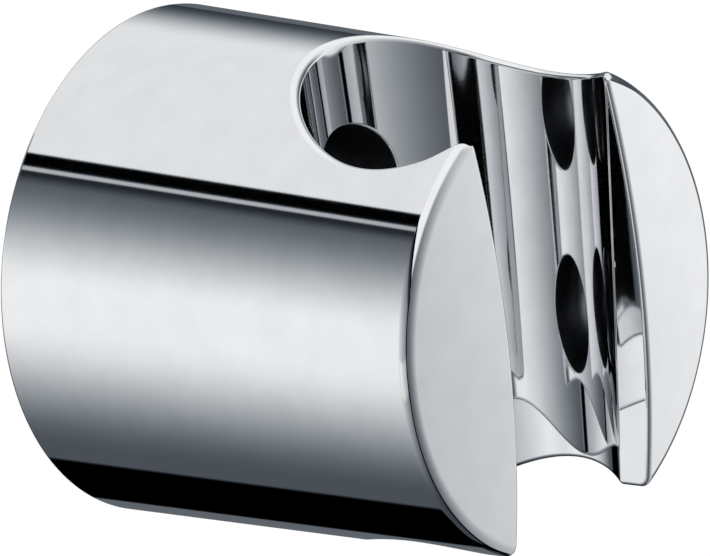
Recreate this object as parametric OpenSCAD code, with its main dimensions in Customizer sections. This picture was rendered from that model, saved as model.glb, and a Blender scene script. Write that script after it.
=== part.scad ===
// Hand shower holder: a round one-piece moulding, screwed to the wall through its cradle.
// The origin is the centre of the wall face. The front points along -Y and +Z is up.
// Millimetres.

/* [Body] */
// Diameter of the body at the wall
body_d = 44; // [42:0.5:48]
// Diameter that the drafted side reaches at the full length
front_d = 42; // [40:0.5:42]
// Length from the wall to the middle of the domed front
body_len = 45.7; // [44:0.1:50]
// Radius of the front dome
dome_r = 108; // [80:1:200]
// Radius of the rounded edge between the side and the dome
edge_r = 1.2; // [0.8:0.1:2]
// Bevel round the back edge
back_bevel = 0.4; // [0.2:0.1:0.8]

/* [Cradle] */
// Distance from the wall to the upright axis of the cradle
cradle_out = 34.4; // [33:0.1:35.5]
// Diameter of the cradle at the height of the body's axis
cradle_d = 24; // [22:0.1:25]
// How much the cradle's diameter grows for each millimetre upwards
cradle_taper = 0.1; // [0.06:0.01:0.12]
// Width of the slot in the front that lets the hose pass
slot_w = 18.3; // [16:0.1:19]

/* [Screw fixing] */
// Distance between the two screw holes, one above the other
screw_spacing = 18; // [17:0.5:19]
// Diameter of the hole for the screw's shank
screw_hole_d = 5.2; // [4:0.1:6]
// Diameter of the well that the screw's head goes down
head_well_d = 10.3; // [9:0.1:11]
// Thickness of the seat that the screw's head pulls on
seat_t = 4; // [3:0.5:6]
// Depth of the countersink in the seat
countersink = 2.2; // [1:0.1:2.5]

/* [Moulding] */
// Thickness of the outer wall, the front and the wall round the cradle
wall_t = 2.4; // [2:0.1:3]
// Thickness of the wall round each screw well
boss_wall = 2; // [1.5:0.1:2.5]
// Thickness of the ribs behind the cradle
rib_t = 2; // [1.5:0.1:2.5]
// Radius of the rounded edge at the front end of the hollow
core_edge_r = 0.8; // [0.5:0.1:1.5]
// Distance that the cross ribs stay back from the wall
rib_step = 6; // [2:0.5:10]

/* [Hidden] */
$fn = 128;
body_r = body_d / 2;
slope = (body_d - front_d) / 2 / body_len;
draft = atan(slope);
nudge = 1;
through = body_d + 4 * nudge;
slot_reach = 8;
chrome = [0.80, 0.81, 0.83];

// Forward place of the dome's centre
dome_centre = body_len - dome_r;

// Distance from the dome's centre to the edge rounding's centre, measured along the axis,
// where the rounding touches the drafted side and the dome, both moved inwards by inset
function rounding_reach(inset, r) =
    let (
        ball = dome_r - inset - r,
        side = body_r - (inset + r) / cos(draft) - slope * dome_centre
    )
    (side * slope + sqrt(pow(side * slope, 2) - (1 + slope * slope) * (side * side - ball * ball)))
    / (1 + slope * slope);

// Half section of the drafted and domed body, moved inwards by inset; x is the radius
// and y the distance from the wall
module body_section(inset, r, bevel, back) {
    reach = rounding_reach(inset, r);
    centre = [body_r - (inset + r) / cos(draft) - slope * (dome_centre + reach), dome_centre + reach];
    side_touch = centre + r * [cos(draft), sin(draft)];
    dome_angle = atan2(centre.x, reach);
    dome_touch = centre + r * [sin(dome_angle), cos(dome_angle)];
    side_at = function (forward) body_r - inset / cos(draft) - slope * forward;
    front = body_len + nudge;
    difference() {
        intersection() {
            polygon([
                [0, back],
                [side_at(back) - bevel, back],
                [side_at(back + bevel), back + bevel],
                [side_at(front), front],
                [0, front]
            ]);
            translate([0, dome_centre]) circle(dome_r - inset);
        }
        difference() {
            polygon([centre, side_touch, centre + 2 * r * [1, 1], dome_touch]);
            translate(centre) circle(r);
        }
    }
}

// Turned solid whose axis points to the front
module turned_body(inset, r, bevel, back) {
    rotate([90, 0, 0]) rotate_extrude() body_section(inset, r, bevel, back);
}

// Open space of the cradle: an upright cone that holds the shower, and the slot that runs
// from its axis out through the front; both are made wider on every side by grow
module cradle_space(grow) {
    change = (cradle_taper / 2) * (through / 2);
    union() {
        translate([0, -cradle_out, -through / 2])
            cylinder(h = through, r1 = cradle_d / 2 - change + grow, r2 = cradle_d / 2 + change + grow);
        translate([-slot_w / 2 - grow, -body_len - slot_reach, -through / 2])
            cube([slot_w + 2 * grow, body_len + slot_reach - cradle_out, through]);
    }
}

// Places its children at both screw axes, pointing to the front
module at_screws() {
    for (side = [-1, 1])
        translate([0, 0, side * screw_spacing / 2]) rotate([90, 0, 0]) children();
}

// Well, countersink and shank hole of one screw
module screw_passage() {
    translate([0, 0, -nudge]) cylinder(h = cradle_out, d = screw_hole_d);
    translate([0, 0, seat_t - countersink])
        cylinder(h = countersink, d1 = screw_hole_d, d2 = screw_hole_d + 2 * countersink);
    translate([0, 0, seat_t]) cylinder(h = cradle_out - seat_t, d = head_well_d);
}

// Bosses, upright web and cross ribs that stand in the hollow behind the cradle
module stiffening() {
    at_screws() cylinder(h = cradle_out, d = head_well_d + 2 * boss_wall);
    translate([-rib_t / 2, -cradle_out, -through / 2]) cube([rib_t, cradle_out, through]);
    for (side = [-1, 1])
        translate([-through / 2, -cradle_out, side * screw_spacing / 2 - rib_t / 2])
            cube([through, cradle_out - rib_step, rib_t]);
}

// Hollow that is open at the back and runs forward on both sides of the cradle
module core() {
    difference() {
        turned_body(wall_t, core_edge_r, 0, -nudge);
        cradle_space(wall_t);
        stiffening();
    }
}

module holder_body() {
    color(chrome)
    difference() {
        turned_body(0, edge_r, back_bevel, 0);
        cradle_space(0);
        core();
        at_screws() screw_passage();
    }
}

holder_body();
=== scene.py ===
import logging
import math
from collections.abc import Callable
from dataclasses import dataclass, field
from enum import IntEnum

import bmesh
import bpy
import numpy as np
from mathutils import Matrix, Vector
from mathutils.geometry import delaunay_2d_cdt


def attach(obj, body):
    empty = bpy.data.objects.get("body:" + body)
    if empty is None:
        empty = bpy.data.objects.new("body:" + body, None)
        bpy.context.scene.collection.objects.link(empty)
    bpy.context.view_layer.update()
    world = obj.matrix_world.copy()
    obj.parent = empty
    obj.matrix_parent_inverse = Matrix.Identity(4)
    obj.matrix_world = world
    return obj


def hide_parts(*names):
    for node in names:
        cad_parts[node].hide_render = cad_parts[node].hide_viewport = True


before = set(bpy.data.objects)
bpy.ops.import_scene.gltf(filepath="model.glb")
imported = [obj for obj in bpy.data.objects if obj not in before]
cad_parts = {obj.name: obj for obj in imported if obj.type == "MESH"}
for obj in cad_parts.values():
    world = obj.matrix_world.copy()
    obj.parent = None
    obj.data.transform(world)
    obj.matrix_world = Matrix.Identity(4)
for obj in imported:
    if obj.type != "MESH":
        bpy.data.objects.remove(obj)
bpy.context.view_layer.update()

LOG = logging.getLogger("holder")
# Metres in a millimetre
MM = 0.001
Array = np.ndarray
Field = tuple[Array, Array]
# Length below which a direction has no meaning, in millimetres
TINY = 1e-9
# Cosine at which two surfaces count as parallel
PARALLEL = 0.999
# Steps of a search by halving
HALVINGS = 50
# Distance at which places of a plane count as one
MERGE = 1e-7
# Small push that decides which way a flat ring faces
HINT = 1e-3
# How far a solid that stands in the hollow runs past it at each end
OVERLAP = 2.0
BOSS_SIDES = 96
HALF_TURN = 180.0
# Sockets of the colour mix node
MIX_FIRST = 6
MIX_SECOND = 7
MIX_RESULT = 2


class Zone(IntEnum):
    """Parts of the surface with their own materials: the hollow and wall face are plated differently, and the
    wells are coloured dark as painted shade of the deep holes.
    """

    POLISHED = 0
    WELL_PAINTED_SHADE = 1
    HOLLOW = 2


def unit(vectors: Array) -> Array:
    """Return the rows of an array at length 1."""
    return vectors / np.maximum(np.linalg.norm(vectors, axis=-1, keepdims=True), TINY**2)


def meet(first: Field, second: Field, radius: Array | float) -> Field:
    """Intersect two solids and round the edge between them.

    Args:
        first: Signed distances to the first solid, and the outward directions there.
        second: The same for the second solid.
        radius: Radius of the rounded edge.

    Returns:
        Signed distances to the rounded intersection, and the outward directions.
    """
    gap_a, gap_b = first[0] + radius, second[0] + radius
    cosine = np.clip(np.sum(first[1] * second[1], axis=1), -PARALLEL, PARALLEL)
    share_a = (gap_a - gap_b * cosine) / (1 - cosine**2)
    share_b = (gap_b - gap_a * cosine) / (1 - cosine**2)
    in_edge = (share_a > 0) & (share_b > 0)
    outward = share_a[:, None] * first[1] + share_b[:, None] * second[1]
    reach = np.linalg.norm(outward, axis=1)
    nearest_first = first[0] > second[0]
    distance = np.where(in_edge, reach - radius, np.maximum(first[0], second[0]))
    plain = np.where(nearest_first[:, None], first[1], second[1])
    return distance, np.where(in_edge[:, None], unit(outward), plain)


@dataclass(frozen=True)
class TurnedShape:
    """Drafted drum with a rounded front edge and a shallow dome, turned round the forward axis.

    Sizes are in millimetres; forward is -Y.
    """

    body_d: float = 44.0
    front_d: float = 42.0
    body_len: float = 45.7
    dome_r: float = 108.0
    edge_r: float = 1.2
    back_round: float = 0.4

    @property
    def slope(self) -> float:
        """Loss of radius for each millimetre forward."""
        return (self.body_d - self.front_d) / 2 / self.body_len

    @property
    def draft(self) -> float:
        """Angle of the side against the axis."""
        return math.atan(self.slope)

    @property
    def dome_centre(self) -> float:
        """Forward place of the dome's centre."""
        return self.body_len - self.dome_r

    def side_radius(self, forward: float, inset: float = 0.0) -> float:
        """Return the side's radius at a forward place, moved inwards by inset."""
        return self.body_d / 2 - inset / math.cos(self.draft) - self.slope * forward

    def rounding_centre(self, inset: float = 0.0, radius: float | None = None) -> tuple[float, float]:
        """Find the centre of the rounding between the side and the dome.

        Args:
            inset: How far both surfaces are moved inwards.
            radius: Radius of the rounding, or None for the front edge's own.

        Returns:
            Distance from the axis, and the forward place.
        """
        radius = self.edge_r if radius is None else radius
        ball = self.dome_r - inset - radius
        side = self.side_radius(self.dome_centre, inset + radius)
        square = 1 + self.slope**2
        lean = side * self.slope
        reach = (lean + math.sqrt(lean**2 - square * (side**2 - ball**2))) / square
        return side - self.slope * reach, self.dome_centre + reach

    @property
    def dome_angle(self) -> float:
        """Angle from the axis, at the dome's centre, at which the dome meets the rounding."""
        across, forward = self.rounding_centre()
        return math.atan2(across, forward - self.dome_centre)

    @property
    def dome_arc(self) -> float:
        """Length of the profile from the middle of the dome to the rounding."""
        return self.dome_r * self.dome_angle

    @property
    def edge_arc(self) -> float:
        """Length of the profile from the middle of the dome to the side."""
        return self.dome_arc + self.edge_r * (math.pi / 2 - self.draft - self.dome_angle)

    @property
    def full_arc(self) -> float:
        """Length of the profile from the middle of the dome to the back rounding."""
        return self.edge_arc + (self.side_start - self.back_round) / math.cos(self.draft)

    @property
    def side_start(self) -> float:
        """Forward place where the rounding meets the side."""
        return self.rounding_centre()[1] + self.edge_r * math.sin(self.draft)

    def solid(self, points: Array) -> Field:
        """Return the signed distances and outward directions of the turned body.

        Args:
            points: Points to test.

        Returns:
            The field of the turned body.
        """
        across = np.maximum(np.hypot(points[:, 0], points[:, 2]), TINY)
        forward = -points[:, 1]
        centre = np.array(self.rounding_centre())
        offset = np.stack([across, forward], 1) - centre
        side_way = np.array([math.cos(self.draft), math.sin(self.draft)])
        dome_way = np.array([math.sin(self.dome_angle), math.cos(self.dome_angle)])
        side = (across - self.side_radius(0) + self.slope * forward) * math.cos(self.draft)
        arm = np.stack([across, forward - self.dome_centre], 1)
        dome = np.linalg.norm(arm, axis=1) - self.dome_r
        past_side = side_way[0] * offset[:, 1] - side_way[1] * offset[:, 0] >= 0
        past_dome = offset[:, 0] * dome_way[1] - offset[:, 1] * dome_way[0] >= 0
        in_edge = past_side & past_dome
        distance = np.where(in_edge, np.linalg.norm(offset, axis=1) - self.edge_r, np.maximum(side, dome))
        plain = np.where((dome > side)[:, None], unit(arm), side_way)
        flat = np.where(in_edge[:, None], unit(offset), plain)
        outward = [flat[:, 0] * points[:, 0] / across, -flat[:, 1], flat[:, 0] * points[:, 2] / across]
        return distance, np.stack(outward, 1)

    def profile(self, arc: Array) -> tuple[Array, Array]:
        """Walk along the profile from the middle of the dome.

        Args:
            arc: Lengths along the profile.

        Returns:
            Distances from the axis, and forward places.
        """
        across, forward = self.rounding_centre()
        on_dome = arc / self.dome_r
        on_edge = self.dome_angle + (arc - self.dome_arc) / self.edge_r
        down = (arc - self.edge_arc) * math.cos(self.draft)
        zones = [arc <= self.dome_arc, arc <= self.edge_arc]
        radii = [self.dome_r * np.sin(on_dome), across + self.edge_r * np.sin(on_edge)]
        places = [self.dome_centre + self.dome_r * np.cos(on_dome), forward + self.edge_r * np.cos(on_edge)]
        side = self.side_start - down
        return (
            np.select(zones, radii, self.side_radius(0) - self.slope * side),
            np.select(zones, places, side),
        )

    def flatten(self, points: Array) -> Array:
        """Spread points of the turned surface over a plane, as polar places round the dome's middle.

        Args:
            points: Points of the surface.

        Returns:
            Their places in the plane.
        """
        across = np.hypot(points[:, 0], points[:, 2])
        forward = -points[:, 1]
        centre = self.rounding_centre()
        way = np.arctan2(across - centre[0], forward - centre[1])
        on_dome = np.arctan2(across, forward - self.dome_centre)
        on_side = self.edge_arc + (self.side_start - forward) / math.cos(self.draft)
        on_edge = self.dome_arc + self.edge_r * (way - self.dome_angle)
        zones = [on_dome <= self.dome_angle, (forward > self.side_start) & (on_side < self.full_arc)]
        arc = np.select(zones, [self.dome_r * on_dome, on_edge], on_side)
        return np.stack([points[:, 0], points[:, 2]], 1) * (arc / np.maximum(across, TINY))[:, None]

    def lift(self, flat: Array) -> Array:
        """Return the points of the turned surface for places of the plane.

        Args:
            flat: Places in the plane.

        Returns:
            Points of the surface.
        """
        arc = np.linalg.norm(flat, axis=1)
        across, forward = self.profile(arc)
        way = flat / np.maximum(arc, TINY)[:, None]
        return np.stack([across * way[:, 0], -forward, across * way[:, 1]], 1)


@dataclass(frozen=True)
class CradleShape:
    """Open space for the shower's cone, with a slot that runs on through the front.

    Sizes are in millimetres; the cone stands upright.
    """

    axis_out: float = 34.4
    cone_d: float = 24.0
    taper: float = 0.1
    slot_w: float = 18.3
    corner_r: float = 0.5

    def radius(self, height: Array | float) -> Array | float:
        """Return the cone's radius at a height."""
        return self.cone_d / 2 + self.taper / 2 * height

    def corner_turn(self, height: Array) -> Array:
        """Return the angle from the back, round the cone's axis, at which the slot begins."""
        return math.pi - np.arcsin(self.slot_w / 2 / self.radius(height))

    def corner_y(self, height: Array) -> Array:
        """Return the place along Y at which the slot begins."""
        return -self.axis_out - np.sqrt(self.radius(height) ** 2 - (self.slot_w / 2) ** 2)

    def cone(self, points: Array) -> Field:
        """Return the field of the material outside the cone.

        Args:
            points: Points to test.

        Returns:
            Signed distances and outward directions.
        """
        lean = math.atan(self.taper / 2)
        arm = points[:, :2] + np.array([0, self.axis_out])
        reach = np.maximum(np.linalg.norm(arm, axis=1), TINY)
        way = arm / reach[:, None]
        distance = (self.radius(points[:, 2]) - reach) * math.cos(lean)
        rise = np.full(len(points), math.sin(lean))
        return distance, np.stack([-way[:, 0] * math.cos(lean), -way[:, 1] * math.cos(lean), rise], 1)

    def solid(self, points: Array) -> Field:
        """Return the field of the material outside the cone and the slot.

        Args:
            points: Points to test.

        Returns:
            Signed distances and outward directions.
        """
        cone = self.cone(points)
        side = np.where(points[:, 0] < 0, -1.0, 1.0)
        slot_way = np.stack([-side, 0 * side, 0 * side], 1)
        slot = self.slot_w / 2 - np.abs(points[:, 0])
        both = meet(cone, (slot, slot_way), self.corner_r)
        ahead = points[:, 1] < -self.axis_out
        return np.where(ahead, both[0], cone[0]), np.where(ahead[:, None], both[1], cone[1])

    def flatten(self, points: Array) -> Array:
        """Unroll points of the cradle's wall; the back is at 0 and the height stays.

        Args:
            points: Points of the wall.

        Returns:
            Their unrolled places.
        """
        height = points[:, 2]
        half = self.cone_d / 2
        turn = np.arctan2(points[:, 0], points[:, 1] + self.axis_out)
        corner = self.corner_y(height)
        on_cheek = points[:, 1] < corner
        run = np.sign(points[:, 0]) * (self.corner_turn(height) * half + corner - points[:, 1])
        return np.stack([np.where(on_cheek, run, turn * half), height], 1)

    def lift(self, flat: Array) -> Array:
        """Return the points of the cradle's wall for unrolled places.

        Args:
            flat: Unrolled places.

        Returns:
            Points of the wall.
        """
        height = flat[:, 1]
        half = self.cone_d / 2
        limit = self.corner_turn(height) * half
        on_cheek = np.abs(flat[:, 0]) > limit
        turn = flat[:, 0] / half
        radius = self.radius(height)
        x = np.where(on_cheek, np.sign(flat[:, 0]) * self.slot_w / 2, radius * np.sin(turn))
        cheek_y = self.corner_y(height) - (np.abs(flat[:, 0]) - limit)
        y = np.where(on_cheek, cheek_y, radius * np.cos(turn) - self.axis_out)
        return np.stack([x, y, height], 1)


@dataclass(frozen=True)
class ScrewShape:
    """Two wells for screw heads, with countersunk holes to the wall, one above the other."""

    spacing: float = 18.0
    well_d: float = 10.3
    hole_d: float = 5.2
    seat: float = 4.0
    countersink: float = 2.2
    mouth_r: float = 0.25

    @property
    def heights(self) -> tuple[float, float]:
        """Heights of the two axes."""
        return -self.spacing / 2, self.spacing / 2

    def solid(self, points: Array) -> Field:
        """Return the field of the material outside both wells.

        Args:
            points: Points to test.

        Returns:
            Signed distances and outward directions.
        """
        height = np.where(points[:, 2] < 0, self.heights[0], self.heights[1])
        arm = np.stack([points[:, 0], points[:, 2] - height], 1)
        reach = np.maximum(np.linalg.norm(arm, axis=1), TINY)
        way = -arm / reach[:, None]
        return self.well_d / 2 - reach, np.stack([way[:, 0], 0 * reach, way[:, 1]], 1)


@dataclass
class Skin:
    """Points and triangles of one closed surface, collected patch by patch."""

    points: list[Array] = field(default_factory=list)
    faces: list[Array] = field(default_factory=list)
    zones: list[Array] = field(default_factory=list)
    follows: list[Array] = field(default_factory=list)
    count: int = 0

    def add(self, points: Array, follows: bool = True) -> Array:
        """Add points.

        Args:
            points: The points.
            follows: Whether they move onto the rounded surface at the end.

        Returns:
            Their numbers.
        """
        self.points.append(points)
        self.follows.append(np.full(len(points), follows))
        self.count += len(points)
        return np.arange(self.count - len(points), self.count)

    def settle(self, solid: Callable[[Array], Field], passes: int = 8) -> Array:
        """Move the points that follow onto the surface where the field is zero.

        Args:
            solid: The field.
            passes: Number of steps.

        Returns:
            All points.
        """
        points = self.all_points()
        follows = np.concatenate(self.follows)
        for _ in range(passes):
            distance, outward = solid(points[follows])
            points[follows] -= outward * distance[:, None]
        return points

    def all_points(self) -> Array:
        """Return every point so far."""
        return np.concatenate(self.points)

    def cover(self, faces: Array, outward: Callable[[Array], Array], zone: Zone) -> None:
        """Add triangles, turned so that they face outwards.

        Args:
            faces: Triples of point numbers.
            outward: Gives the outward directions at points.
            zone: Plating zone of the triangles.
        """
        points = self.all_points()[faces]
        normal = np.cross(points[:, 1] - points[:, 0], points[:, 2] - points[:, 0])
        wrong = np.sum(normal * outward(points.mean(1)), axis=1) < 0
        faces = np.where(wrong[:, None], faces[:, ::-1], faces)
        self.faces.append(faces)
        self.zones.append(np.full(len(faces), int(zone)))

    def patch(
        self,
        flat: Array,
        ids: Array,
        edges: list[tuple[int, int]],
        keep: Callable[[Array], Array],
        outward: Callable[[Array], Array],
        zone: Zone,
    ) -> None:
        """Fill a flat outline with triangles and keep those that lie on the surface.

        Args:
            flat: Places in the patch's own plane.
            ids: Point number of each place.
            edges: Pairs of places that triangles don't cross.
            keep: Says which places of the plane are on the surface.
            outward: Gives the outward directions at points.
            zone: Plating zone of the triangles.
        """
        result = delaunay_2d_cdt([Vector(p) for p in flat], edges, [], 0, MERGE, True)
        places = np.array([tuple(v) for v in result[0]])
        numbers = np.array([ids[found[0]] if found else -1 for found in result[3]])
        faces = np.array([f for f in result[2] if len(f) == 3])
        faces = faces[(numbers[faces] >= 0).all(1)]
        faces = faces[keep(places[faces].mean(1))]
        self.cover(numbers[faces], outward, zone)

    def rings(self, rows: list[Array], outward: Callable[[Array], Array], zone: Zone) -> None:
        """Join closed rings of equally many points, one after the other.

        Args:
            rows: Point numbers of each ring.
            outward: Gives the outward directions at points.
            zone: Plating zone of the triangles.
        """
        for lower, upper in zip(rows, rows[1:]):
            after_l, after_u = np.roll(lower, -1), np.roll(upper, -1)
            first = np.stack([lower, after_l, after_u], 1)
            second = np.stack([lower, after_u, upper], 1)
            self.cover(np.concatenate([first, second]), outward, zone)


def closed_pairs(count: int, start: int = 0) -> list[tuple[int, int]]:
    """Return the edges of a closed loop of numbered places."""
    return [(start + i, start + (i + 1) % count) for i in range(count)]


def evenly(line: Array, step: float) -> Array:
    """Place points at equal steps along a dense line.

    Args:
        line: Dense points of the line.
        step: Wanted distance between the points.

    Returns:
        Points from the line's start to its end, both included.
    """
    run = np.concatenate([[0], np.cumsum(np.linalg.norm(np.diff(line, axis=0), axis=1))])
    count = max(2, round(run[-1] / step) + 1)
    at = np.linspace(0, run[-1], count)
    return np.stack([np.interp(at, run, line[:, k]) for k in range(3)], 1)


def root_along(start: Array, way: Array, low: float, high: float, value: Callable[[Array], Array]) -> Array:
    """Find where a field is zero along straight lines, by halving.

    Args:
        start: One point for each line.
        way: Direction of each line.
        low: Distance at which the field is below zero.
        high: Distance at which the field is above zero.
        value: Gives the field at points.

    Returns:
        The point found on each line.
    """
    near, far = np.full(len(start), low), np.full(len(start), high)
    for _ in range(HALVINGS):
        middle = (near + far) / 2
        inside = value(start + way * middle[:, None]) < 0
        near, far = np.where(inside, middle, near), np.where(inside, far, middle)
    return start + way * near[:, None]


class Sieve:
    """Keeps places of a plane that aren't too close to those kept before."""

    def __init__(self, cell: float) -> None:
        """Start empty, with square cells of the given side."""
        self.cell = cell
        self.cells: dict[tuple[int, int], list[tuple[float, float]]] = {}

    def take(self, places: Array, room: Array | float) -> Array:
        """Keep the places that have room round them.

        Args:
            places: Places to try, in order.
            room: Least distance of each to the places kept before.

        Returns:
            True for each place that was kept.
        """
        rooms = np.broadcast_to(room, len(places))
        kept = np.zeros(len(places), bool)
        for i, (x, y) in enumerate(places):
            col, row = math.floor(x / self.cell), math.floor(y / self.cell)
            least = rooms[i] ** 2
            near = (
                p
                for c in (col - 1, col, col + 1)
                for r in (row - 1, row, row + 1)
                for p in self.cells.get((c, r), ())
            )
            if all((x - p[0]) ** 2 + (y - p[1]) ** 2 >= least for p in near):
                self.cells.setdefault((col, row), []).append((x, y))
                kept[i] = True
        return kept


@dataclass
class HolderBody:
    """The one-piece plated body: outside, cradle, wells and the hollow behind.

    Sizes and steps are in millimetres. A room is the least distance that a new point keeps from
    those laid before, and a count says how many points or rows a stretch gets.
    """

    turned: TurnedShape = field(default_factory=TurnedShape)
    cradle: CradleShape = field(default_factory=CradleShape)
    screws: ScrewShape = field(default_factory=ScrewShape)
    rim_r: float = 0.75
    slot_edge_r: float = 0.42
    wall_t: float = 2.4
    boss_wall: float = 2.0
    rib_t: float = 2.0
    core_edge_r: float = 0.8
    rib_step: float = 6.0
    near_edge: float = 8.0
    near_blend: float = 10.0
    edge_step: float = 0.32
    edge_rows: int = 8
    turns: int = 256
    rim_heights: tuple[float, float] = (4.0, 24.0)
    rim_samples: int = 1500
    slot_samples: int = 6000
    sieve_cell: float = 1.5
    dome_start: float = 9.0
    dome_step: float = 0.8
    dome_gap: float = 0.3
    edge_rings: int = 11
    side_rings: int = 33
    ring_room: float = 0.2
    back_rows: int = 6
    corner_samples: int = 70
    corner_steps: int = 6
    corner_room: float = 0.04
    mouth_points: int = 160
    mouth_steps: int = 4
    mouth_room: float = 0.03
    wall_grid: tuple[float, float] = (0.55, 0.9)
    wall_half: float = 22.0
    cheek_reach: float = 8.0
    wall_room: float = 0.25
    well_rings: tuple[float, ...] = (0.15, 0.35, 0.6, 0.8, 1.0)
    overshoot: float = 1.0
    tool_half: float = 26.0
    tool_front: float = 60.0
    tool_samples: int = 97
    core_edge_points: int = 7
    core_front_points: int = 8
    sharp_turn: float = 35.0
    skin_gap: float = 2e-3
    skin_turn: float = 0.6
    face_ring: Array | None = None
    hole_rings: list[Array] = field(default_factory=list)

    def edge_radius(self, points: Array) -> Array:
        """Return the radius of the outer edges: larger round the cradle's rims than along the slot.

        Args:
            points: Points near the edges.

        Returns:
            The radius at each point.
        """
        start = -self.cradle.axis_out - self.cradle.cone_d / 4
        share = np.clip((start - points[:, 1]) / (self.cradle.cone_d / 8), 0, 1)
        share = share * share * (3 - 2 * share)
        near = np.clip((self.near_edge - points[:, 0]) / self.near_blend, 0, 1) * (points[:, 2] > 0)
        rim = self.slot_edge_r + (self.rim_r - self.slot_edge_r) * near
        return rim + (self.slot_edge_r - rim) * share

    def solid(self, points: Array) -> Field:
        """Return the field of the whole outside with all its rounded edges."""
        shell = meet(self.turned.solid(points), self.cradle.solid(points), self.edge_radius(points))
        return meet(shell, self.screws.solid(points), self.screws.mouth_r)

    def outward(self, points: Array) -> Array:
        """Return the outward directions of the outside."""
        return self.solid(points)[1]

    def turned_outward(self, points: Array) -> Array:
        """Return the outward directions of the turned surface."""
        return self.turned.solid(points)[1]

    def edge_loop(self) -> tuple[Array, list[int]]:
        """Find the closed line where the turned surface and the cradle's wall meet.

        Returns:
            The points, and the numbers of the four that are on the slot's corners:
            upper right, lower right, lower left, upper left.
        """
        def beyond(points: Array) -> Array:
            """Return how far points are outside the turned body."""
            return self.turned.solid(points)[0]

        share = np.linspace(-1, 1, self.rim_samples)
        rims = []
        for side in (1, -1):
            low, high = (np.full(len(share), height) for height in self.rim_heights)
            for _ in range(HALVINGS):
                z = (low + high) / 2 * side
                turn = share * self.cradle.corner_turn(z) * self.cradle.cone_d / 2
                inside = beyond(self.cradle.lift(np.stack([turn * (1 - TINY), z], 1))) < 0
                low, high = np.where(inside, z * side, low), np.where(inside, high, z * side)
            rims.append(self.cradle.lift(np.stack([turn * (1 - TINY), z], 1)))
        top, bottom = rims
        middle = np.array([self.cradle.slot_w / 2, float(self.cradle.corner_y(np.array(0.0))), 0.0])
        first = math.atan2(top[-1][2], middle[1] - top[-1][1])
        last = math.atan2(bottom[-1][2], middle[1] - bottom[-1][1])
        swing = np.linspace(first, last, self.slot_samples)
        way = np.stack([0 * swing, -np.cos(swing), np.sin(swing)], 1)
        right = root_along(np.tile(middle, (len(way), 1)), way, 0.0, self.rim_heights[1], beyond)
        right[0], right[-1] = top[-1], bottom[-1]
        left = right[::-1] * np.array([-1, 1, 1])
        parts = [evenly(line, self.edge_step) for line in (top, right, bottom[::-1], left)]
        corners = np.cumsum([0] + [len(p) - 1 for p in parts])
        return np.concatenate([p[:-1] for p in parts]), [int(c) for c in corners[1:]]

    def edge_reach(self, first: Array, second: Array, radius: Array) -> Array:
        """Return how far a rounding reaches from a sharp edge, from the directions beside it.

        Args:
            first: Outward directions of one surface.
            second: Outward directions of the other.
            radius: Radius of the rounding.

        Returns:
            The reach at each point.
        """
        turn = np.arccos(np.clip(np.sum(first * second, axis=1), -1, 1))
        return radius * np.tan(turn / 2)

    def side_rows(
        self, loop: Array, away: Array, reach: Array, shape: TurnedShape | CradleShape, rows: int
    ) -> list[Array]:
        """Lay rows of points beside an edge, close together where the surface is rounded.

        Args:
            loop: Points of the edge.
            away: Direction from the edge into the patch, at each point.
            reach: How far the rounding reaches there.
            shape: The surface that the rows lie on.
            rows: Number of rows within the rounding.

        Returns:
            Places in the plane of the surface, row by row.
        """
        found = []
        for k in range(1, rows + 2):
            points = loop + away * (reach * k / rows)[:, None]
            found.append(shape.flatten(shape.lift(shape.flatten(points))))
        return found

    def build_skin(self) -> Skin:
        """Build the outside: turned surface, cradle and wells, open where the wall face goes."""
        skin = Skin()
        loop, corners = self.edge_loop()
        turned_out = self.turned.solid(loop)[1]
        wall_out = self.wall_normals(loop, corners)
        along = unit(np.roll(loop, -1, axis=0) - np.roll(loop, 1, axis=0))
        reach = self.edge_reach(turned_out, wall_out, self.edge_radius(loop))
        loop_ids = skin.add(loop)
        on_turned = self.into(along, turned_out, wall_out)
        on_wall = self.into(along, wall_out, turned_out)
        self.cover_turned(skin, loop, loop_ids, on_turned, reach)
        self.cover_cradle(skin, loop, loop_ids, corners, on_wall, reach)
        return skin

    @staticmethod
    def into(along: Array, normal: Array, other: Array) -> Array:
        """Return the directions that lie in a surface, square to its edge, away from the other surface.

        Args:
            along: Directions of the edge.
            normal: Outward directions of the surface.
            other: Outward directions of the other surface.

        Returns:
            The directions.
        """
        way = unit(np.cross(normal, along))
        return np.where((np.sum(way * other, axis=1) < 0)[:, None], way, -way)

    def wall_normals(self, loop: Array, corners: list[int]) -> Array:
        """Return the outward directions of the cradle's sharp wall along the edge.

        Args:
            loop: Points of the edge.
            corners: Numbers of the points on the slot's corners.

        Returns:
            The outward directions.
        """
        cone = self.cradle.cone(loop)[1]
        side = np.sign(loop[:, 0])
        cheek = np.stack([-side, 0 * side, 0 * side], 1)
        number = np.arange(len(loop))
        on_cheek = ((number > corners[0]) & (number < corners[1])) | (number > corners[2])
        wall = np.where(on_cheek[:, None], cheek, cone)
        for c in corners:
            wall[c % len(loop)] = unit(cone[c % len(loop)] + cheek[c % len(loop)])
        return wall

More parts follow.
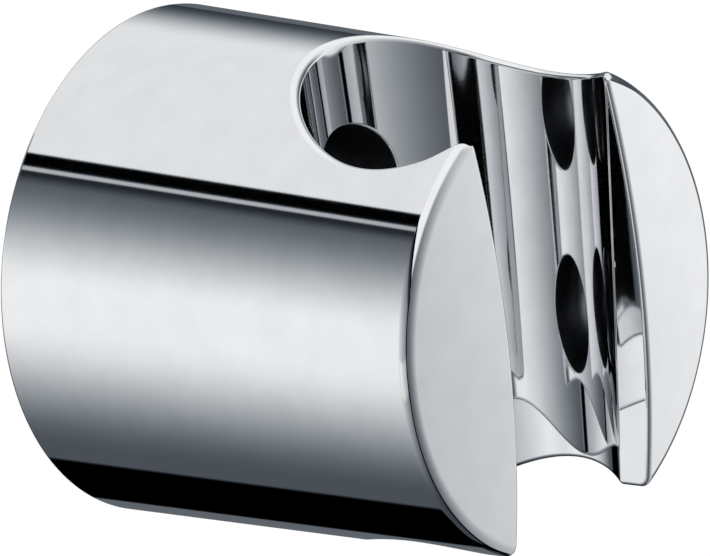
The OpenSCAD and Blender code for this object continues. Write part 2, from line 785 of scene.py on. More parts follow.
    def cover_turned(self, skin: Skin, loop: Array, loop_ids: Array, away: Array, reach: Array) -> None:
        """Cover the dome, its rounding and the side down to the back, and round the back edge.

        Args:
            skin: Skin that the patch joins.
            loop: Points of the edge.
            loop_ids: Their numbers.
            away: Direction from the edge into the patch, at each point.
            reach: How far the rounding reaches there.
        """
        shape = self.turned
        flat_loop = shape.flatten(loop)
        sieve = Sieve(self.sieve_cell)
        sieve.take(flat_loop, 0.0)
        room = reach / self.edge_rows / 2
        rows = self.side_rows(loop, away, reach, shape, self.edge_rows)
        places = [row[sieve.take(row, room)] for row in rows]
        angles = np.arange(self.turns) * 2 * math.pi / self.turns
        on_dome = np.arange(self.dome_start, shape.dome_arc - self.dome_gap, self.dome_step)
        rings = [(arc, round(2 * math.pi * arc / self.dome_step)) for arc in on_dome]
        on_edge = np.linspace(shape.dome_arc, shape.edge_arc, self.edge_rings)
        on_side = np.linspace(shape.edge_arc, shape.full_arc, self.side_rings)[1:-1]
        rings += [(arc, self.turns) for arc in [*on_edge, *on_side]]
        for arc, count in rings:
            turn = np.arange(count) * 2 * math.pi / count
            ring = arc * np.stack([np.cos(turn), np.sin(turn)], 1)
            ring = ring[self.cradle.solid(shape.lift(ring))[0] < 0]
            places.append(ring[sieve.take(ring, self.ring_room)])
        inner = np.concatenate(places)
        inner_ids = skin.add(shape.lift(inner))
        outer = shape.full_arc * np.stack([np.cos(angles), np.sin(angles)], 1)
        outer_ids = skin.add(shape.lift(outer))
        flat = np.concatenate([flat_loop, outer, inner])
        edges = closed_pairs(len(flat_loop)) + closed_pairs(len(outer), len(flat_loop))
        ids = np.concatenate([loop_ids, outer_ids, inner_ids])

        def keep(at: Array) -> Array:
            """Say which places are outside the cradle and before the back."""
            return (self.cradle.solid(shape.lift(at))[0] < 0) & (np.linalg.norm(at, axis=1) < shape.full_arc)

        skin.patch(flat, ids, edges, keep, self.turned_outward, Zone.POLISHED)
        self.close_back(skin, outer_ids, angles)

    def close_back(self, skin: Skin, outer_ids: Array, angles: Array) -> None:
        """Round the back edge, and keep the last ring, where the wall face begins.

        Args:
            skin: Skin that the rings join.
            outer_ids: Numbers of the side's last ring.
            angles: Angle of each of its points.
        """
        size = self.turned.back_round
        across = self.turned.side_radius(size) - size
        rows = [outer_ids]
        for swing in np.linspace(0, math.pi / 2, self.back_rows)[1:]:
            radius = across + size * math.cos(swing)
            height = -size + size * math.sin(swing)
            ring = [radius * np.cos(angles), np.full(len(angles), height), radius * np.sin(angles)]
            rows.append(skin.add(np.stack(ring, 1), False))

        def outward(points: Array) -> Array:
            """Point away from the axis and backwards."""
            return points * np.array([1, 0, 1]) + np.array([0, 1, 0])

        skin.rings(rows, outward, Zone.POLISHED)
        self.face_ring = rows[-1]

    def cover_cradle(
        self, skin: Skin, loop: Array, loop_ids: Array, corners: list[int], away: Array, reach: Array
    ) -> None:
        """Cover the cone and the slot's cheeks, with rows beside the rims, corners and well mouths.

        Args:
            skin: Skin that the patch joins.
            loop: Points of the edge.
            loop_ids: Their numbers.
            corners: Numbers of the points on the slot's corners.
            away: Direction from the edge into the patch, at each point.
            reach: How far the rounding reaches there.
        """
        shape = self.cradle
        flat_loop = shape.flatten(loop)
        sieve = Sieve(self.sieve_cell)
        sieve.take(flat_loop, 0.0)
        room = reach / self.edge_rows / 2
        rows = self.side_rows(loop, away, reach, shape, self.edge_rows)
        places = [row[sieve.take(row, room)] for row in rows]
        edges = closed_pairs(len(flat_loop))
        flat, ids = [flat_loop], [loop_ids]
        start = len(flat_loop)
        for upper, lower, side in ((corners[0], corners[1], 1), (corners[3] % len(loop), corners[2], -1)):
            height = np.linspace(loop[upper][2], loop[lower][2], self.corner_samples)
            turn = side * shape.corner_turn(height) * shape.cone_d / 2
            line = np.stack([turn, height], 1)
            inner = line[1:-1]
            sieve.take(inner, 0.0)
            chain = [upper] + list(range(start, start + len(inner))) + [lower]
            edges += list(zip(chain, chain[1:]))
            flat.append(inner)
            ids.append(skin.add(shape.lift(inner * np.array([1 - TINY, 1]))))
            start += len(inner)
            self.corner_rows(places, sieve, line)
        for height in self.screws.heights:
            mouth = self.mouth(height)
            mouth_ids = skin.add(mouth)
            flat_mouth = shape.flatten(mouth)
            sieve.take(flat_mouth, 0.0)
            out = unit(flat_mouth - np.array([0, height]))
            for k in range(1, self.mouth_steps + 2):
                row = flat_mouth + out * self.screws.mouth_r * k / self.mouth_steps
                places.append(row[sieve.take(row, self.mouth_room)])
            edges += closed_pairs(len(mouth), start)
            flat.append(flat_mouth)
            ids.append(mouth_ids)
            start += len(mouth)
            self.line_well(skin, mouth, mouth_ids, height)
        limit = math.pi * shape.cone_d / 2 + self.cheek_reach
        step_across, step_up = self.wall_grid
        across = np.arange(-limit, limit, step_across)
        across, up = np.meshgrid(across, np.arange(-self.wall_half, self.wall_half, step_up))
        grid = np.stack([across.ravel(), up.ravel()], 1)
        lifted = shape.lift(grid)
        grid = grid[(self.turned.solid(lifted)[0] < 0) & (self.screws.solid(lifted)[0] < 0)]
        places.append(grid[sieve.take(grid, self.wall_room)])
        inner = np.concatenate(places)
        flat.append(inner)
        ids.append(skin.add(shape.lift(inner)))

        def keep(at: Array) -> Array:
            """Say which places are inside the turned body and outside the wells."""
            points = shape.lift(at)
            return (self.turned.solid(points)[0] < 0) & (self.screws.solid(points)[0] < 0)

        def outward(points: Array) -> Array:
            """Return the outward directions of the cradle's wall."""
            return shape.solid(points)[1]

        skin.patch(np.concatenate(flat), np.concatenate(ids), edges, keep, outward, Zone.POLISHED)

    def corner_rows(self, places: list[Array], sieve: Sieve, line: Array) -> None:
        """Lay rows beside the corner between the cone and a cheek.

        Args:
            places: Rows found so far; the new ones join them.
            sieve: Places that are taken.
            line: Unrolled places of the corner.
        """
        shape = self.cradle
        turn = math.pi / 2 - math.asin(shape.slot_w / shape.cone_d)
        reach = shape.corner_r * math.tan((math.pi / 2 - turn) / 2 + math.pi / 8)
        for k in range(1, self.corner_steps + 2):
            for side in (-1, 1):
                row = line[1:-1] + np.array([side * reach * k / self.corner_steps, 0])
                inside = self.turned.solid(shape.lift(row))[0] < -self.corner_room / 2
                row = row[inside]
                places.append(row[sieve.take(row, self.corner_room)])

    def mouth(self, height: float) -> Array:
        """Return the closed line where a screw well opens into the cone.

        Args:
            height: Height of the well's axis.

        Returns:
            Points of the line.
        """
        turn = np.arange(self.mouth_points) * 2 * math.pi / self.mouth_points
        radius = self.screws.well_d / 2
        x, z = radius * np.cos(turn), height + radius * np.sin(turn)
        y = np.sqrt(self.cradle.radius(z) ** 2 - x**2) - self.cradle.axis_out
        return np.stack([x, y, z], 1)

    def line_well(self, skin: Skin, mouth: Array, mouth_ids: Array, height: float) -> None:
        """Line one well down to its seat, with the countersink and the hole to the wall.

        Args:
            skin: Skin that the rings join.
            mouth: Points of the well's mouth.
            mouth_ids: Their numbers.
            height: Height of the well's axis.
        """
        axis = np.array([0, 0, height])
        seat = -self.screws.seat
        rows = [mouth_ids]
        for k in range(1, self.mouth_steps + 2):
            deepest = mouth + np.array([0, self.screws.mouth_r * k / self.mouth_steps, 0])
            rows.append(skin.add(deepest))
        for share in self.well_rings:
            ring = deepest.copy()
            ring[:, 1] += (seat - ring[:, 1]) * share
            rows.append(skin.add(ring))
        
        def inward(points: Array) -> Array:
            """Point to the well's axis, and a very little forwards."""
            return (axis - points) * np.array([1, 0, 1]) - np.array([0, HINT, 0])

        def forward(points: Array) -> Array:
            """Point to the front."""
            return np.tile([0.0, -1.0, 0.0], (len(points), 1))

        # The well's rings, seat, countersink and hole take the well material, whose dark colour is painted
        # shade of the deep hole.
        skin.rings(rows, inward, Zone.WELL_PAINTED_SHADE)
        way = unit((mouth - axis) * np.array([1, 0, 1]))
        hole = self.screws.hole_d / 2
        sink = hole + self.screws.countersink
        steps = [(sink, seat), (hole, seat + self.screws.countersink), (hole, 0.0)]
        lower = [rows[-1]]
        for radius, place in steps:
            lower.append(skin.add(axis + way * radius + np.array([0, place, 0]), False))
        skin.rings(lower[:2], forward, Zone.WELL_PAINTED_SHADE)
        skin.rings(lower[1:], inward, Zone.WELL_PAINTED_SHADE)
        self.hole_rings.append(lower[-1])

    def fill_face(self, skin: Skin) -> None:
        """Fill the wall face between the back rounding and the two holes.

        Args:
            skin: Skin that the face joins.
        """
        points = skin.all_points()
        rings = [self.face_ring, *self.hole_rings]
        flat = np.concatenate([points[ring][:, [0, 2]] for ring in rings])
        edges, start = [], 0
        for ring in rings:
            edges += closed_pairs(len(ring), start)
            start += len(ring)
        hole = self.screws.hole_d / 2
        across = np.linalg.norm(points[self.face_ring[0]][[0, 2]])

        def keep(at: Array) -> Array:
            """Say which places are on the face and outside the holes."""
            clear = np.hypot(at[:, 0], np.abs(at[:, 1]) - self.screws.spacing / 2) > hole
            return clear & (np.linalg.norm(at, axis=1) < across)

        def backward(points: Array) -> Array:
            """Point to the wall."""
            return np.tile([0.0, 1.0, 0.0], (len(points), 1))

        skin.patch(flat, np.concatenate(rings), edges, keep, backward, Zone.HOLLOW)

    def core_section(self) -> list[tuple[float, float]]:
        """Return the half section of the hollow: distances from the axis, and forward places.

        Returns:
            Its points, from the open end to the middle of the front.
        """
        shape = self.turned
        across, forward = shape.rounding_centre(self.wall_t, self.core_edge_r)
        last = math.atan2(across, forward - shape.dome_centre)
        back = -self.overshoot
        line = [(0.0, back), (shape.side_radius(back, self.wall_t), back)]
        size = self.core_edge_r
        for way in np.linspace(math.pi / 2 - shape.draft, last, self.core_edge_points):
            line.append((across + size * math.sin(way), forward + size * math.cos(way)))
        ball = shape.dome_r - self.wall_t
        for way in np.linspace(last, 0, self.core_front_points)[1:]:
            line.append((ball * math.sin(way), shape.dome_centre + ball * math.cos(way)))
        return line

    def core_blank(self) -> bpy.types.Object:
        """Turn the section of the hollow into a closed blank.

        Returns:
            The blank.
        """
        build = bmesh.new()
        section = self.core_section()
        turn = [i * 2 * math.pi / self.turns * 2 for i in range(self.turns // 2)]
        rings = [
            [build.verts.new((r * math.cos(t), -f, r * math.sin(t))) for t in turn] for r, f in section[1:-1]
        ]
        for lower, upper in zip(rings, rings[1:]):
            for i in range(len(turn)):
                j = (i + 1) % len(turn)
                build.faces.new((lower[i], lower[j], upper[j], upper[i]))
        for ring, place in ((rings[0], section[0]), (rings[-1], section[-1])):
            pole = build.verts.new((0, -place[1], 0))
            for i in range(len(turn)):
                build.faces.new((ring[i], ring[(i + 1) % len(turn)], pole))
        return mesh_object("core_blank", build)

    def cradle_tool(self) -> bpy.types.Object:
        """Make the solid that keeps the wall round the cradle and slot: both, grown by the wall.

        Returns:
            The solid.
        """
        grown = CradleShape(
            axis_out=self.cradle.axis_out,
            cone_d=self.cradle.cone_d + 2 * self.wall_t,
            taper=self.cradle.taper,
            slot_w=self.cradle.slot_w + 2 * self.wall_t,
        )
        build = bmesh.new()
        share = np.linspace(-1, 1, self.tool_samples)
        rings = []
        for level in (-self.tool_half, self.tool_half):
            height = np.full(len(share), level)
            turn = share * grown.corner_turn(height) * grown.cone_d / 2 * (1 - TINY)
            arc = grown.lift(np.stack([turn, height], 1))
            front = [(side * grown.slot_w / 2, -self.tool_front, level) for side in (1, -1)]
            rings.append([build.verts.new(p) for p in [*arc.tolist(), *front]])
        for i in range(len(rings[0])):
            j = (i + 1) % len(rings[0])
            build.faces.new((rings[0][i], rings[0][j], rings[1][j], rings[1][i]))
        for ring in rings:
            build.faces.new(ring)
        return mesh_object("cradle_tool", build)

    def make_hollow(self) -> bpy.types.Object:
        """Shape the hollow: the blank, less the cradle's wall and what stands in it.

        Returns:
            The solid that is cut from the body.
        """
        blank = self.core_blank()
        tool = self.cradle_tool()
        apply_tree(
            blank,
            stiffening_tree(),
            {
                "Spacing": self.screws.spacing,
                "Boss Diameter": self.screws.well_d + 2 * self.boss_wall,
                "Rib Thickness": self.rib_t,
                "Reach": self.cradle.axis_out,
                "Rib Setback": self.rib_step,
                "Width": self.turned.body_d + 4 * self.overshoot,
                "Material": PLATINGS[Zone.HOLLOW].material(),
            },
        )
        cut(blank, tool)
        return blank

    def build(self) -> bpy.types.Object:
        """Build the body as one closed mesh in metres, with smooth directions on the plated outside.

        Returns:
            The body.
        """
        skin = self.build_skin()
        self.fill_face(skin)
        points = skin.settle(self.solid)
        mesh = bpy.data.meshes.new("holder")
        faces, zones = np.concatenate(skin.faces), np.concatenate(skin.zones)
        mesh.from_pydata(points.tolist(), [], faces.tolist())
        mesh.polygons.foreach_set("material_index", zones.astype(np.int32))
        body = bpy.data.objects.new("holder", mesh)
        bpy.context.scene.collection.objects.link(body)
        for zone in Zone:
            mesh.materials.append(PLATINGS[zone].material())
        hollow = self.make_hollow()
        hollow.data.materials.clear()
        hollow.data.materials.append(PLATINGS[Zone.HOLLOW].material())
        cut(body, hollow)
        self.smooth(body.data)
        return body

    def smooth(self, mesh: bpy.types.Mesh) -> None:
        """Give the plated outside its exact directions, and scale the mesh to metres.

        Args:
            mesh: Mesh of the body, in millimetres.
        """
        mesh.polygons.foreach_set("use_smooth", [True] * len(mesh.polygons))
        mesh.set_sharp_from_angle(angle=math.radians(self.sharp_turn))
        co = np.zeros(len(mesh.vertices) * 3)
        mesh.vertices.foreach_get("co", co)
        co = co.reshape(-1, 3)
        corner_normals = np.zeros(len(mesh.loops) * 3)
        mesh.corner_normals.foreach_get("vector", corner_normals)
        corner_normals = corner_normals.reshape(-1, 3)
        corner_vertex = np.zeros(len(mesh.loops), np.int32)
        mesh.loops.foreach_get("vertex_index", corner_vertex)
        distance, outward = self.solid(co)
        exact = outward[corner_vertex]
        agrees = np.sum(exact * corner_normals, axis=1) > self.skin_turn
        on_skin = (np.abs(distance) < self.skin_gap)[corner_vertex] & agrees
        mesh.transform(Matrix.Scale(MM, 4))
        mesh.normals_split_custom_set(np.where(on_skin[:, None], exact, corner_normals).tolist())


def mesh_object(name: str, build: bmesh.types.BMesh) -> bpy.types.Object:
    """Turn a bmesh into an object with outward faces.

    Args:
        name: Name of the object.
        build: The bmesh, which is freed.

    Returns:
        The object.
    """
    bmesh.ops.recalc_face_normals(build, faces=build.faces[:])
    mesh = bpy.data.meshes.new(name)
    build.to_mesh(mesh)
    build.free()
    made = bpy.data.objects.new(name, mesh)
    bpy.context.scene.collection.objects.link(made)
    return made


def bake_modifiers(piece: bpy.types.Object) -> None:
    """Replace a piece's mesh by the result of its modifiers, and remove them.

    Args:
        piece: The piece.
    """
    dressed = piece.evaluated_get(bpy.context.evaluated_depsgraph_get())
    result = bpy.data.meshes.new_from_object(dressed)
    piece.modifiers.clear()
    piece.data = result


def cut(piece: bpy.types.Object, tool: bpy.types.Object) -> None:
    """Take a closed tool away from a closed piece, and delete the tool.

    Args:
        piece: The piece.
        tool: The tool.
    """
    step = piece.modifiers.new("cut", "BOOLEAN")
    step.operation, step.object, step.solver = "DIFFERENCE", tool, "MANIFOLD"
    step.material_mode = "TRANSFER"
    bake_modifiers(piece)
    bpy.data.objects.remove(tool)


def apply_tree(
    piece: bpy.types.Object, tree: bpy.types.NodeTree, sizes: dict[str, float | bpy.types.Material]
) -> None:
    """Run a geometry tree on a piece, with its inputs set by their identifiers.

    Args:
        piece: The mesh that goes in.
        tree: The geometry tree.
        sizes: Value of each named input.
    """
    step = piece.modifiers.new("tree", "NODES")
    step.node_group = tree
    for item in tree.interface.items_tree:
        if item.item_type == "SOCKET" and item.in_out == "INPUT" and item.name in sizes:
            step[item.identifier] = sizes[item.name]
    bake_modifiers(piece)


def stiffening_tree() -> bpy.types.NodeTree:
    """Build the tree that leaves the bosses, cross ribs and web standing in the hollow.

    Returns:
        The tree.
    """
    tree = bpy.data.node_groups.new("stiffening", "GeometryNodeTree")
    tree.interface.new_socket("Geometry", in_out="INPUT", socket_type="NodeSocketGeometry")
    for name in ("Spacing", "Boss Diameter", "Rib Thickness", "Reach", "Rib Setback", "Width"):
        tree.interface.new_socket(name, in_out="INPUT", socket_type="NodeSocketFloat")
    tree.interface.new_socket("Material", in_out="INPUT", socket_type="NodeSocketMaterial")
    tree.interface.new_socket("Geometry", in_out="OUTPUT", socket_type="NodeSocketGeometry")
    nodes, link = tree.nodes, tree.links.new
    given = nodes.new("NodeGroupInput").outputs

    def calc(operation: str, *values: bpy.types.NodeSocket | float) -> bpy.types.NodeSocket:
        """Return the result of a math node."""
        node = nodes.new("ShaderNodeMath")
        node.operation = operation
        for socket, value in zip(node.inputs, values):
            if isinstance(value, bpy.types.NodeSocket):
                link(value, socket)
            else:
                socket.default_value = value
        return node.outputs[0]

    def vector(*values: bpy.types.NodeSocket | float) -> bpy.types.NodeSocket:
        """Return a vector with the given parts."""
        node = nodes.new("ShaderNodeCombineXYZ")
        for socket, value in zip(node.inputs, values):
            if isinstance(value, bpy.types.NodeSocket):
                link(value, socket)
            else:
                socket.default_value = value
        return node.outputs[0]

    def placed(solid: bpy.types.NodeSocket, place: bpy.types.NodeSocket, turn: float) -> bpy.types.NodeSocket:
        """Return a solid, turned round the X axis and moved to its place."""
        node = nodes.new("GeometryNodeTransform")
        link(solid, node.inputs["Geometry"])
        link(place, node.inputs["Translation"])
        node.inputs["Rotation"].default_value = (turn, 0, 0)
        return node.outputs["Geometry"]

    def at_screws(solid: bpy.types.NodeSocket) -> bpy.types.NodeSocket:
        """Return a copy of a solid at each screw axis."""
        node = nodes.new("GeometryNodeInstanceOnPoints")
        link(axes.outputs["Mesh"], node.inputs["Points"])
        link(solid, node.inputs["Instance"])
        realize = nodes.new("GeometryNodeRealizeInstances")
        link(node.outputs["Instances"], realize.inputs["Geometry"])
        return realize.outputs["Geometry"]

    axes = nodes.new("GeometryNodeMeshLine")
    axes.inputs["Count"].default_value = 2
    link(vector(0, 0, calc("MULTIPLY", given["Spacing"], -0.5)), axes.inputs["Start Location"])
    link(vector(0, 0, given["Spacing"]), axes.inputs["Offset"])
    boss = nodes.new("GeometryNodeMeshCylinder")
    boss.inputs["Vertices"].default_value = BOSS_SIDES
    link(calc("MULTIPLY", given["Boss Diameter"], 0.5), boss.inputs["Radius"])
    reach = calc("ADD", given["Reach"], 2 * OVERLAP)
    link(reach, boss.inputs["Depth"])
    half_way = calc("MULTIPLY_ADD", reach, -0.5, OVERLAP)
    bosses = at_screws(placed(boss.outputs["Mesh"], vector(0, half_way, 0), math.pi / 2))
    rib = nodes.new("GeometryNodeMeshCube")
    depth = calc("SUBTRACT", given["Reach"], given["Rib Setback"])
    link(vector(given["Width"], depth, given["Rib Thickness"]), rib.inputs["Size"])
    middle = calc("MULTIPLY", calc("ADD", given["Reach"], given["Rib Setback"]), -0.5)
    ribs = at_screws(placed(rib.outputs["Mesh"], vector(0, middle, 0), 0))
    web = nodes.new("GeometryNodeMeshCube")
    link(vector(given["Rib Thickness"], reach, given["Width"]), web.inputs["Size"])
    webs = placed(web.outputs["Mesh"], vector(0, half_way, 0), 0)
    body = given["Geometry"]
    for solid in (bosses, ribs, webs):
        trim = nodes.new("GeometryNodeMeshBoolean")
        trim.operation, trim.solver = "DIFFERENCE", "MANIFOLD"
        link(body, trim.inputs["Mesh 1"])
        link(solid, trim.inputs["Mesh 2"])
        body = trim.outputs["Mesh"]
    whole = nodes.new("GeometryNodeRealizeInstances")
    link(body, whole.inputs["Geometry"])
    dress = nodes.new("GeometryNodeSetMaterial")
    link(whole.outputs["Geometry"], dress.inputs["Geometry"])
    link(given["Material"], dress.inputs["Material"])
    link(dress.outputs["Geometry"], nodes.new("NodeGroupOutput").inputs["Geometry"])
    return tree


class Formula:
    """Number that shader nodes work out, written with ordinary signs."""

    def __init__(self, tree: bpy.types.NodeTree, socket: bpy.types.NodeSocket) -> None:
        """Wrap the output socket of a node."""
        self.tree = tree
        self.socket = socket

    def work(self, operation: str, *others: "Formula | float") -> "Formula":
        """Put a math node behind this number.

        Args:
            operation: Name of the math node's operation.
            others: The other numbers that go in.

        Returns:
            The result.
        """
        node = self.tree.nodes.new("ShaderNodeMath")
        node.operation = operation
        self.tree.links.new(self.socket, node.inputs[0])
        for socket, value in zip(node.inputs[1:], others):
            if isinstance(value, Formula):
                self.tree.links.new(value.socket, socket)
            else:
                socket.default_value = value
        return Formula(self.tree, node.outputs[0])

    def __add__(self, other: "Formula | float") -> "Formula":
        """Return the sum."""
        return self.work("ADD", other)

    def __sub__(self, other: "Formula | float") -> "Formula":
        """Return the difference."""
        return self.work("SUBTRACT", other)

    def __mul__(self, other: "Formula | float") -> "Formula":
        """Return the product."""
        return self.work("MULTIPLY", other)

    def smooth(self, start: float, end: float) -> "Formula":
        """Return a soft step from 0 at start to 1 at end; start may be the larger.

        Args:
            start: Where the step begins.
            end: Where it ends.

        Returns:
            The step.
        """
        node = self.tree.nodes.new("ShaderNodeMapRange")
        node.interpolation_type = "SMOOTHSTEP"
        self.tree.links.new(self.socket, node.inputs["Value"])
        node.inputs["From Min"].default_value = start
        node.inputs["From Max"].default_value = end
        return Formula(self.tree, node.outputs["Result"])

    def band(self, low: float, high: float, soft: float) -> "Formula":
        """Return 1 between low and high, with soft edges, and 0 elsewhere."""
        return self.smooth(low - soft / 2, low + soft / 2) * self.smooth(high + soft / 2, high - soft / 2)

    def mix(self, other: "Formula | float", share: "Formula") -> "Formula":
        """Return this number where share is 0 and the other where it is 1."""
        rest = share * -1.0 + 1.0
        return self * rest + share * other


@dataclass(frozen=True)
class Studio:
    """Soft boxes, grey cards and black flags round the object, as polished metal shows them.

    Turns are in degrees round the body's axis, from the right over the top; leans are degrees
    from the wall side to the front. Levels are brightness on the screen, from 0 to 1.
    """

    overhead: float = 0.915
    overhead_edge: tuple[float, float] = (0.0, 40.0)
    right_card: float = 0.24
    low_right_card: float = 0.40
    panel_dark: float = 0.33
    panel_light: float = 0.97
    panel_rise: tuple[float, float] = (125.0, 178.0)
    panel_fall: tuple[float, float] = (262.0, 193.0)
    panel_fade: float = 0.0065
    panel_start: float = 53.0
    front_level: float = 0.65
    front_right: float = 0.38
    front_up: float = 0.10
    white: float = 0.985
    black: float = 0.02
    soft: float = 3.0
    overhead_back: tuple[float, float] = (56.0, 66.0)
    overhead_gain: float = 0.06
    overhead_front: tuple[float, float] = (108.0, 128.0)
    panel_border: tuple[float, float] = (2.0, 12.0)
    border_level: float = 0.5
    strip: tuple[float, float] = (187.0, 203.0)
    strip_back: tuple[float, float] = (62.0, 80.0)
    strip_gain: float = 0.14
    glint: tuple[float, float] = (3.4, 5.4)
    glint_front: tuple[float, float] = (60.0, 54.0)
    glint_gain: float = 0.55
    frame_steep: tuple[float, float] = (1.1, 63.8)
    frame_shallow: tuple[float, float] = (0.42, 104.3)
    front_frame: float = 126.0
    frame_bend: tuple[float, float] = (210.0, -0.53)
    frame_drop: tuple[float, float] = (270.0, -0.25)
    below_panel: tuple[float, float] = (2.0, 9.0)
    flag_half: float = 2.7
    flag_depth: float = 4.0
    flag_end: tuple[float, float] = (126.0, 122.0)
    low_right_start: tuple[float, float] = (300.0, 309.0)
    low_right_front: tuple[float, float] = (106.0, 98.0)
    low_flag: tuple[float, float] = (271.0, 309.0)
    low_flag_end: tuple[float, float] = (66.0, 58.0)
    low_flag_tip: tuple[float, float] = (284.0, 295.0)
    low_flag_tip_end: tuple[float, float] = (90.0, 84.0)
    darkest: float = 0.004
    brightest: float = 0.995
    gammas: tuple[float, float, float] = (2.34, 2.2, 2.08)

    def build(self, world: bpy.types.World) -> None:
        """Write the studio into a world: white for every ray but the mirrored ones.

        Args:
            world: The world.
        """
        world.use_nodes = True
        tree = world.node_tree
        tree.nodes.clear()
        where = tree.nodes.new("ShaderNodeTexCoord")
        split = tree.nodes.new("ShaderNodeSeparateXYZ")
        tree.links.new(where.outputs["Generated"], split.inputs["Vector"])
        x, y, z = (Formula(tree, out) for out in split.outputs)
        turn = (z * -1.0).work("ARCTAN2", x * -1.0).work("DEGREES") + HALF_TURN
        lean = y.work("ARCCOSINE").work("DEGREES")
        level = self.level(x, z, turn, lean)
        level = level.work("MAXIMUM", self.darkest).work("MINIMUM", self.brightest)
        colour = tree.nodes.new("ShaderNodeCombineColor")
        for channel, gamma in zip(colour.inputs, self.gammas):
            tree.links.new(level.work("POWER", gamma).socket, channel)
        rays = tree.nodes.new("ShaderNodeLightPath")
        choose = tree.nodes.new("ShaderNodeMix")
        choose.data_type = "RGBA"
        tree.links.new(rays.outputs["Is Glossy Ray"], choose.inputs["Factor"])
        choose.inputs[MIX_FIRST].default_value = (1, 1, 1, 1)
        tree.links.new(colour.outputs["Color"], choose.inputs[MIX_SECOND])
        light = tree.nodes.new("ShaderNodeBackground")
        tree.links.new(choose.outputs[MIX_RESULT], light.inputs["Color"])
        out = tree.nodes.new("ShaderNodeOutputWorld")
        tree.links.new(light.outputs["Background"], out.inputs["Surface"])

    def level(self, x: Formula, z: Formula, turn: Formula, lean: Formula) -> Formula:
        """Compose the brightness in every direction.

        Args:
            x: Sideways part of the direction.
            z: Upward part of the direction.
            turn: Turn round the body's axis.
            lean: Lean from the wall side to the front.

        Returns:
            The brightness.
        """
        steep, shallow = (lean * slope + start for slope, start in (self.frame_steep, self.frame_shallow))
        beside = turn - steep.work("MINIMUM", shallow)
        bend, slope = self.frame_bend
        drop, drop_slope = self.frame_drop
        edge_lean = (turn - bend).work("MAXIMUM", 0.0) * slope + self.front_frame
        ahead = lean - (edge_lean + (turn - drop).work("MAXIMUM", 0.0) * drop_slope)
        front = x * self.front_right + z * self.front_up + self.front_level
        front = front.work("MINIMUM", self.white)
        overhead = turn.smooth(*self.overhead_edge) * (self.overhead - self.right_card) + self.right_card
        overhead = overhead + lean.smooth(*self.overhead_back) * self.overhead_gain
        upper = overhead.mix(front, lean.smooth(*self.overhead_front))
        left = self.panel(turn, lean, beside).mix(front, ahead.smooth(*self.below_panel))
        left = left.mix(self.black, ahead.band(-self.flag_depth, self.flag_depth, self.flag_depth / 2))
        level = upper.mix(left, beside.smooth(0.0, 1.0))
        line = beside.band(-self.flag_half, self.flag_half, self.flag_half / 2)
        level = level.mix(self.black, line * lean.smooth(*self.flag_end))
        low = front.mix(self.low_right_card, lean.smooth(*self.low_right_front))
        level = level.mix(low, turn.smooth(*self.low_right_start))
        near, far = (
            turn.band(*turns, self.soft) * lean.smooth(*leans)
            for turns, leans in (
                (self.low_flag, self.low_flag_end),
                (self.low_flag_tip, self.low_flag_tip_end),
            )
        )
        return level.mix(self.black / 2, near.work("MAXIMUM", far))

    def panel(self, turn: Formula, lean: Formula, beside: Formula) -> Formula:
        """Compose the brightness of the panel on the left.

        Args:
            turn: Turn round the body's axis.
            lean: Lean from the wall side to the front.
            beside: Turn from the panel's upper frame line.

        Returns:
            The brightness.
        """
        hump = turn.smooth(*self.panel_rise) * turn.smooth(*self.panel_fall)
        panel = hump * (self.panel_light - self.panel_dark) + self.panel_dark
        panel = panel * ((lean - self.panel_start) * -self.panel_fade + 1.0).work("MINIMUM", 1.0)
        strip = turn.band(*self.strip, self.soft) * lean.smooth(*self.strip_back) * self.strip_gain
        panel = (panel + strip) * beside.smooth(*self.panel_border).work("MAXIMUM", self.border_level)
        glint = beside.band(*self.glint, 1.0) * lean.smooth(*self.glint_front) * self.glint_gain
        return panel + glint


@dataclass(frozen=True)
class Plating:
    """Chrome plating: its colour, how rough it is, and how much both waver over the surface."""

    name: str
    colour: tuple[float, float, float]
    roughness: float
    spread: float
    grain: float
    wave: float
    wave_height: float
    grain_detail: float = 4.0
    wave_detail: float = 2.0

    def material(self) -> bpy.types.Material:
        """Return the material, built on first use.

        Returns:
            The material.
        """
        found = bpy.data.materials.get(self.name)
        if found:
            return found
        made = bpy.data.materials.new(self.name)
        made.use_nodes = True
        tree = made.node_tree
        shader = tree.nodes["Principled BSDF"]
        shader.inputs["Metallic"].default_value = 1.0
        where = tree.nodes.new("ShaderNodeTexCoord").outputs["Object"]
        cloud = self.noise(tree, where, self.grain, self.grain_detail)
        tone = tree.nodes.new("ShaderNodeMix")
        tone.data_type = "RGBA"
        tone.inputs[MIX_FIRST].default_value = (*(c * (1 - self.spread / 2) for c in self.colour), 1)
        tone.inputs[MIX_SECOND].default_value = (*self.colour, 1)
        tree.links.new(cloud, tone.inputs["Factor"])
        tree.links.new(tone.outputs[MIX_RESULT], shader.inputs["Base Color"])
        rough = Formula(tree, cloud) * (self.roughness * self.spread * 2)
        rough = rough + self.roughness * (1 - self.spread)
        tree.links.new(rough.socket, shader.inputs["Roughness"])
        bump = tree.nodes.new("ShaderNodeBump")
        bump.inputs["Strength"].default_value = 1.0
        bump.inputs["Distance"].default_value = self.wave_height
        height = self.noise(tree, where, self.wave, self.wave_detail)
        tree.links.new(height, bump.inputs["Height"])
        tree.links.new(bump.outputs["Normal"], shader.inputs["Normal"])
        return made

    @staticmethod
    def noise(
        tree: bpy.types.NodeTree, where: bpy.types.NodeSocket, scale: float, detail: float
    ) -> bpy.types.NodeSocket:
        """Add a noise pattern and return its output.

        Args:
            tree: Node tree of the material.
            where: Coordinates of the pattern.
            scale: Fineness, in cells for each metre.
            detail: Number of finer layers.

        Returns:
            Its output.
        """
        node = tree.nodes.new("ShaderNodeTexNoise")
        node.inputs["Scale"].default_value = scale
        node.inputs["Detail"].default_value = detail
        tree.links.new(where, node.inputs["Vector"])
        return node.outputs["Fac"]


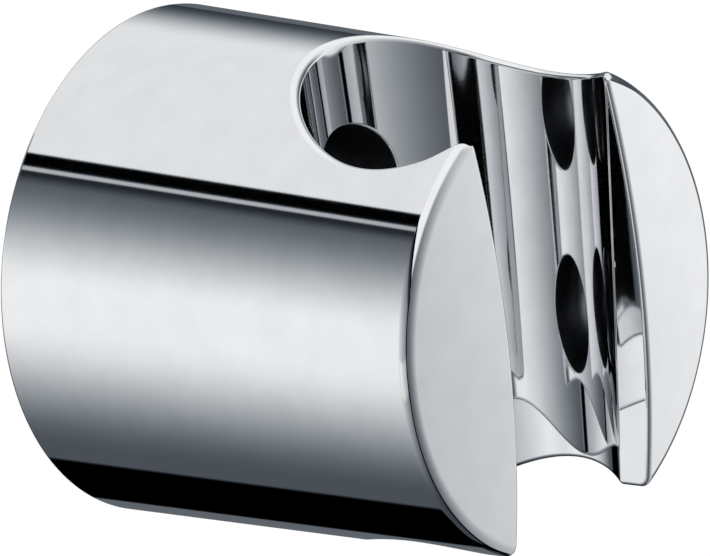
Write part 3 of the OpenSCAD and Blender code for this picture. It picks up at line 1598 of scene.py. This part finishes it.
PLATINGS = {
    Zone.POLISHED: Plating(
        name="chrome_polished",
        colour=(0.95, 0.955, 0.965),
        roughness=0.03,
        spread=0.25,
        grain=320.0,
        wave=150.0,
        wave_height=2e-6,
    ),
    # Wells: the dark colour is painted shade of the deep screw holes.
    Zone.WELL_PAINTED_SHADE: Plating(
        name="chrome_well_painted_shade",
        colour=(0.30, 0.31, 0.33),
        roughness=0.32,
        spread=0.3,
        grain=900.0,
        wave=1800.0,
        wave_height=2e-5,
    ),
    Zone.HOLLOW: Plating(
        name="chrome_hollow",
        colour=(0.62, 0.64, 0.67),
        roughness=0.34,
        spread=0.3,
        grain=500.0,
        wave=1100.0,
        wave_height=1.5e-5,
    ),
}


@dataclass(frozen=True)
class Floor:
    """Pale floor far below, hidden from mirrored rays, that takes the object's shadow."""

    depth: float = 2.2
    half: float = 30.0
    white: float = 0.8
    own: float = 0.22
    roughness: float = 0.9

    def build(self) -> bpy.types.Object:
        """Make the floor.

        Returns:
            The floor.
        """
        build = bmesh.new()
        corners = [(-1, -1), (1, -1), (1, 1), (-1, 1)]
        build.faces.new([build.verts.new((x * self.half, y * self.half, -self.depth)) for x, y in corners])
        floor = mesh_object("floor", build)
        paint = bpy.data.materials.new("floor_paint")
        paint.use_nodes = True
        tree = paint.node_tree
        shader = tree.nodes["Principled BSDF"]
        shader.inputs["Base Color"].default_value = (self.white, self.white, self.white, 1)
        shader.inputs["Roughness"].default_value = self.roughness
        shader.inputs["Emission Color"].default_value = (1, 1, 1, 1)
        rays = tree.nodes.new("ShaderNodeLightPath")
        seen = Formula(tree, rays.outputs["Is Camera Ray"])
        seen = seen.work("MAXIMUM", Formula(tree, rays.outputs["Is Glossy Ray"]))
        seen = seen.work("MAXIMUM", Formula(tree, rays.outputs["Is Transmission Ray"]))
        tree.links.new((seen * self.own).socket, shader.inputs["Emission Strength"])
        floor.data.materials.append(paint)
        floor.visible_glossy = False
        return floor


@dataclass(frozen=True)
class View:
    """Where the camera stands, in degrees and millimetres."""

    azimuth: float = -49.898
    elevation: float = 17.798
    roll: float = 6.211
    distance: float = 1319.8
    lens: float = 783.1
    middle: tuple[float, float, float] = (0.0, -22.0, 0.0)
    shift_right: float = 0.563
    shift_up: float = 0.612
    clip: tuple[float, float] = (0.05, 30.0)

    def place(self) -> bpy.types.Object:
        """Create the camera.

        Returns:
            The camera.
        """
        turn, lift, roll = (math.radians(a) for a in (self.azimuth, self.elevation, self.roll))
        back = Vector((math.sin(turn) * math.cos(lift), -math.cos(turn) * math.cos(lift), math.sin(lift)))
        level = Vector((math.cos(turn), math.sin(turn), 0))
        upright = back.cross(level)
        right = level * math.cos(roll) - upright * math.sin(roll)
        above = level * math.sin(roll) + upright * math.cos(roll)
        data = bpy.data.cameras.new("camera")
        data.lens = self.lens
        data.clip_start, data.clip_end = self.clip
        camera = bpy.data.objects.new("camera", data)
        bpy.context.scene.collection.objects.link(camera)
        aim = Vector(self.middle) - right * self.shift_right + above * self.shift_up
        place = (aim + back * self.distance) * MM
        axes = Matrix((right, above, back)).transposed().to_4x4()
        camera.matrix_world = Matrix.Translation(place) @ axes
        bpy.context.scene.camera = camera
        return camera


def main() -> None:
    """Build the scene."""
    logging.basicConfig(level=logging.INFO, format="%(message)s")
    body = HolderBody().build()
    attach(body, "root")
    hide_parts("holder_body")
    View().place()
    world = bpy.data.worlds.new("studio")
    bpy.context.scene.world = world
    Studio().build(world)
    Floor().build()
    bpy.context.scene.view_settings.view_transform = "Standard"
    LOG.info("holder: %d faces", len(body.data.polygons))


if __name__ == "__main__":
    main()
